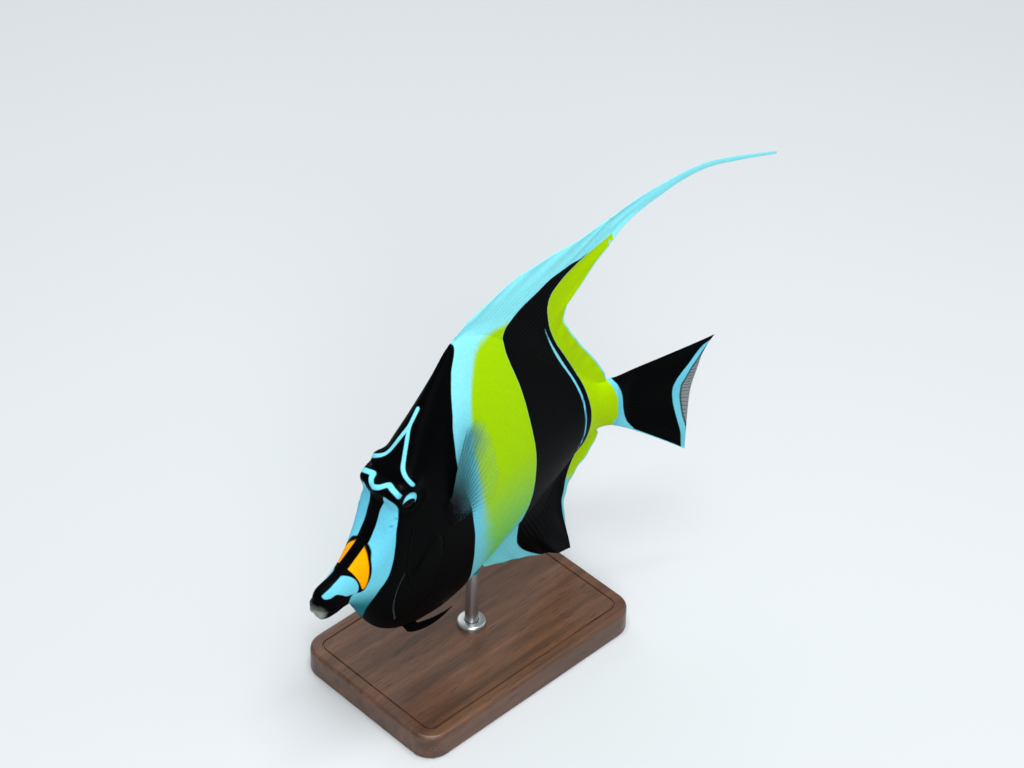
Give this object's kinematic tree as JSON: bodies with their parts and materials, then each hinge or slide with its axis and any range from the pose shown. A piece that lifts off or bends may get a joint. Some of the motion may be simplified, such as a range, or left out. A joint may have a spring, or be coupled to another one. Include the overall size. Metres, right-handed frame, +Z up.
{
  "type": "moorish idol fish model on a display stand",
  "caption": "Still, life-size moorish idol fish with raised fin rays, long dorsal streamer and brow horns, held by a rod on a flat rounded base.",
  "frame": {"origin": "on the floor, at the middle of the underside of the stand's base, below the fish's middle plane", "axes": "+X towards the tail, so the snout points along -X; +Y to the fish's right side; +Z up, towards its back"},
  "size_m": [0.2168, 0.066, 0.1588],
  "materials": {
    "black_skin": "satin painted fish skin, black with pale blue and orange face marks",
    "yellow_skin": "satin painted fish skin, banded black, pale blue and yellow-green",
    "white_fin": "satin painted fin membrane over fine rays, pale blue",
    "black_fin": "satin painted fin membrane over fine rays, black with a pale margin",
    "eye": "clear gloss over a dark iris",
    "horn": "satin black painted bone",
    "base_wood": "satin lacquered dark walnut",
    "rod_steel": "brushed"
  },
  "bodies": {
    "root": {"head": "black_skin", "trunk": "yellow_skin", "tail_stalk": "yellow_skin", "eye_left": "eye", "eye_right": "eye", "horn_left": "horn", "horn_right": "horn", "dorsal_fin": "white_fin", "dorsal_streamer": "white_fin", "anal_fin": "black_fin", "tail_fin": "black_fin", "pectoral_fin_left": "white_fin", "pectoral_fin_right": "white_fin", "pelvic_fin_left": "black_fin", "pelvic_fin_right": "black_fin", "stand_base": "base_wood", "stand_rod": "rod_steel"}
  },
  "joints": []
}
